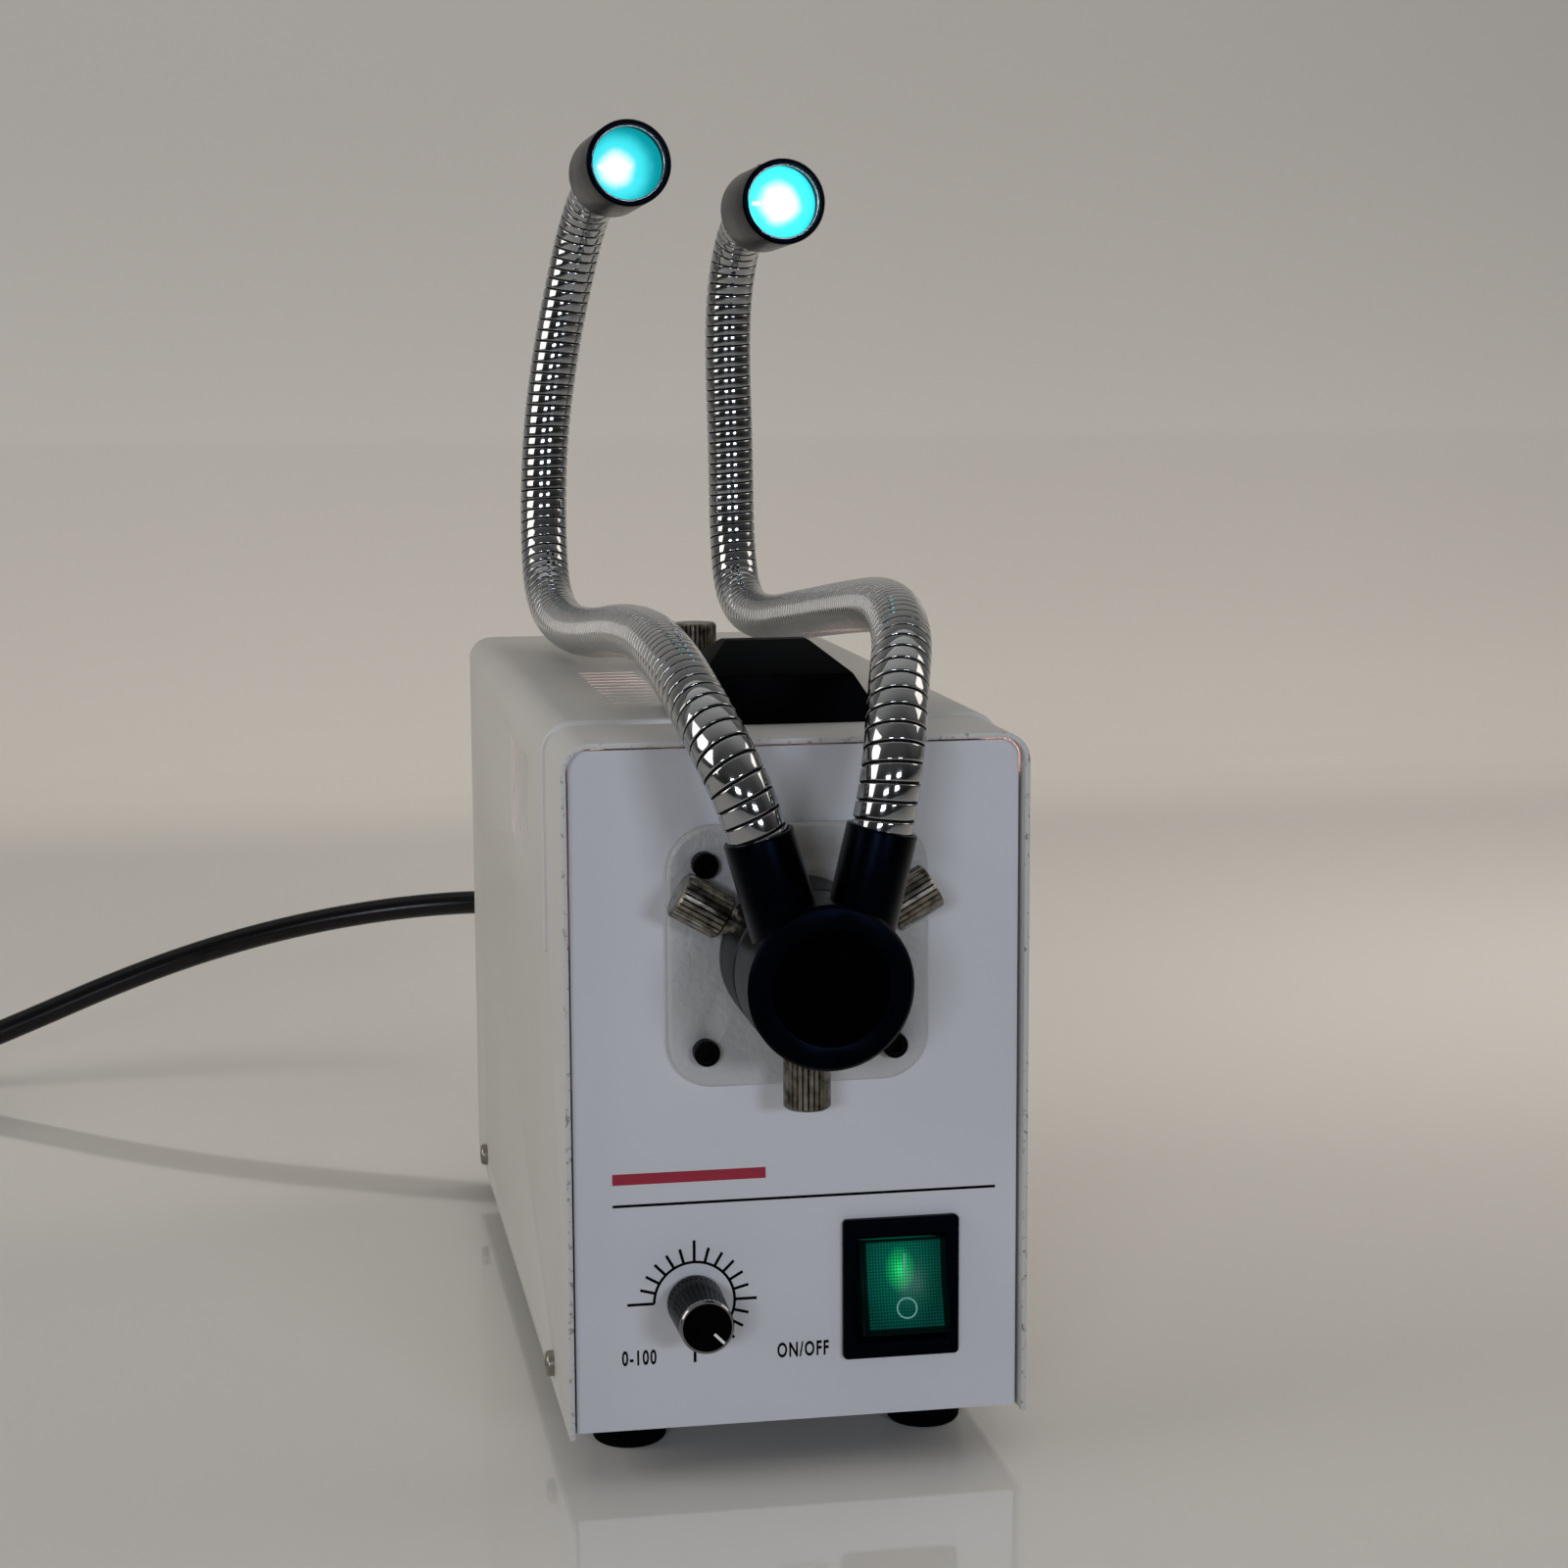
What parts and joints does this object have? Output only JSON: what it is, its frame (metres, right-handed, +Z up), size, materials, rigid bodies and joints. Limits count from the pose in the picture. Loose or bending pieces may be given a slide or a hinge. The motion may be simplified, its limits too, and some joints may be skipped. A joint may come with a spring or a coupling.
{
  "type": "fiber optic illuminator",
  "caption": "Bench cold-light source: sheet steel lamp house with dimmer knob, rocker switch, fan and light port, holding a gooseneck light guide with lens tips.",
  "frame": {"origin": "middle of the machine's footprint on the table, cord left out", "axes": "+X to the machine's right seen from the front, +Y towards its back, +Z up; the light port looks along -Y"},
  "size_m": [0.3753, 0.4448, 0.2982],
  "materials": {
    "cover_paint": "satin",
    "port_plate_paint": "satin",
    "panel_print": "gloss",
    "zinc_sheet": "satin",
    "plated_steel": "polished",
    "black_screw_steel": "satin",
    "tarnished_nickel": "satin",
    "black_rubber": "matte",
    "black_moulding": "satin",
    "collar_anodised": "satin",
    "black_anodised": "satin",
    "hose_steel": "polished",
    "fibre_glass": "polished",
    "lit_lens": "polished",
    "filter_glass": "polished",
    "reflector_glass": "polished",
    "quartz": "polished",
    "lamp_ceramic": "matte",
    "core_steel": "satin",
    "winding_tape": "satin",
    "board_laminate": "satin",
    "bare_aluminium": "satin",
    "knob_black": "gloss",
    "knob_silver": "polished",
    "switch_black": "satin",
    "rocker_green": "gloss",
    "cord_pvc": "gloss"
  },
  "bodies": {
    "lamp_house": {"base_chassis": "zinc_sheet", "front_overlay": "panel_print", "rear_panel": "cover_paint", "top_cover": "cover_paint", "cover_screws": "plated_steel", "rubber_feet": "black_rubber", "foot_screws": "plated_steel", "top_grip": "black_moulding", "port_plate": "port_plate_paint", "port_plate_screws": "black_screw_steel", "port_collar": "collar_anodised", "dimmer_potentiometer": "black_moulding", "potentiometer_nut": "plated_steel", "switch_housing": "switch_black", "lamp_deck": "zinc_sheet", "heat_filter": "filter_glass", "lamp_bracket": "zinc_sheet", "lamp_reflector": "reflector_glass", "lamp_capsule": "quartz", "lamp_socket": "lamp_ceramic", "transformer_core": "core_steel", "transformer_winding": "winding_tape", "dimmer_board": "board_laminate", "triac_heat_sink": "bare_aluminium", "fan_frame": "black_moulding", "fan_guard": "plated_steel", "fan_screws": "plated_steel", "fuse_holder": "black_moulding", "fuse_cap": "black_moulding", "strain_relief": "black_moulding", "power_cord": "cord_pvc", "cord_coil": "cord_pvc", "cord_tie": "black_moulding", "plug_body": "black_moulding", "plug_blades": "plated_steel"},
    "light_guide": {"hub_body": "black_anodised", "hub_cap": "black_anodised", "guide_ferrule": "hose_steel", "fibre_bundle": "fibre_glass", "socket_left": "black_anodised", "socket_right": "black_anodised", "hose_left_lower": "hose_steel", "hose_right_lower": "hose_steel"},
    "clamp_screw_left": {"thumbscrew_left": "tarnished_nickel"},
    "clamp_screw_right": {"thumbscrew_right": "tarnished_nickel"},
    "clamp_screw_bottom": {"thumbscrew_bottom": "tarnished_nickel"},
    "cover_screw": {"top_thumbscrew": "tarnished_nickel"},
    "dimmer_knob": {"brightness_knob": "knob_black", "knob_ring": "knob_silver", "potentiometer_shaft": "plated_steel"},
    "rocker": {"switch_rocker": "rocker_green"},
    "fan_wheel": {"fan_rotor": "black_moulding"},
    "left_arm": {"hose_left_middle": "hose_steel"},
    "left_upright": {"hose_left_upper": "hose_steel"},
    "left_head": {"lens_barrel_left": "black_anodised", "lens_left": "lit_lens"},
    "right_arm": {"hose_right_middle": "hose_steel"},
    "right_upright": {"hose_right_upper": "hose_steel"},
    "right_head": {"lens_barrel_right": "black_anodised", "lens_right": "lit_lens"}
  },
  "joints": [
    {"name": "light_guide_slide", "type": "slide", "parent": "lamp_house", "child": "light_guide", "axis": [0, -1, 0], "range_m": [0, 0.035]},
    {"name": "clamp_screw_left_turn", "type": "hinge", "parent": "lamp_house", "child": "clamp_screw_left", "pos_m": [0, -0.116, 0.1135], "axis": [-0.866, 0, 0.5], "range_deg": [-180, 360]},
    {"name": "clamp_screw_right_turn", "type": "hinge", "parent": "lamp_house", "child": "clamp_screw_right", "pos_m": [0, -0.116, 0.1135], "axis": [0.866, 0, 0.5], "range_deg": [-180, 360]},
    {"name": "clamp_screw_bottom_turn", "type": "hinge", "parent": "lamp_house", "child": "clamp_screw_bottom", "pos_m": [0, -0.116, 0.1135], "axis": [0, 0, -1], "range_deg": [-180, 360]},
    {"name": "cover_screw_turn", "type": "hinge", "parent": "lamp_house", "child": "cover_screw", "pos_m": [0, 0.037, 0.165], "axis": [0, 0, 1], "range_deg": [0, 720]},
    {"name": "brightness_turn", "type": "hinge", "parent": "lamp_house", "child": "dimmer_knob", "pos_m": [-0.0226, -0.115, 0.0382], "axis": [0, 1, 0], "range_deg": [-225, 45]},
    {"name": "power_rocker_tilt", "type": "hinge", "parent": "lamp_house", "child": "rocker", "pos_m": [0.0224, -0.1049, 0.039], "axis": [1, 0, 0], "range_deg": [0, 30]},
    {"name": "fan_spin", "type": "hinge", "parent": "lamp_house", "child": "fan_wheel", "pos_m": [0, 0.118, 0.108], "axis": [0, 1, 0], "continuous": true},
    {"name": "left_arm_lift", "type": "hinge", "parent": "light_guide", "child": "left_arm", "pos_m": [-0.02395, -0.10975, 0.17155], "axis": [1, 0, 0], "range_deg": [0, 30]},
    {"name": "left_upright_swing", "type": "hinge", "parent": "left_arm", "child": "left_upright", "pos_m": [-0.0309, 0.107, 0.203], "axis": [0, 1, 0], "range_deg": [-30, 5]},
    {"name": "left_head_tilt", "type": "hinge", "parent": "left_upright", "child": "left_head", "pos_m": [-0.0154, 0.079, 0.2855], "axis": [1, 0, 0], "range_deg": [-20, 20]},
    {"name": "right_arm_lift", "type": "hinge", "parent": "light_guide", "child": "right_arm", "pos_m": [0.01985, -0.11725, 0.177], "axis": [1, 0, 0], "range_deg": [0, 30]},
    {"name": "right_upright_swing", "type": "hinge", "parent": "right_arm", "child": "right_upright", "pos_m": [0.02155, 0.10875, 0.2], "axis": [0, 1, 0], "range_deg": [-5, 30]},
    {"name": "right_head_tilt", "type": "hinge", "parent": "right_upright", "child": "right_head", "pos_m": [0.0255, 0.084, 0.2767], "axis": [1, 0, 0], "range_deg": [-20, 20]}
  ]
}
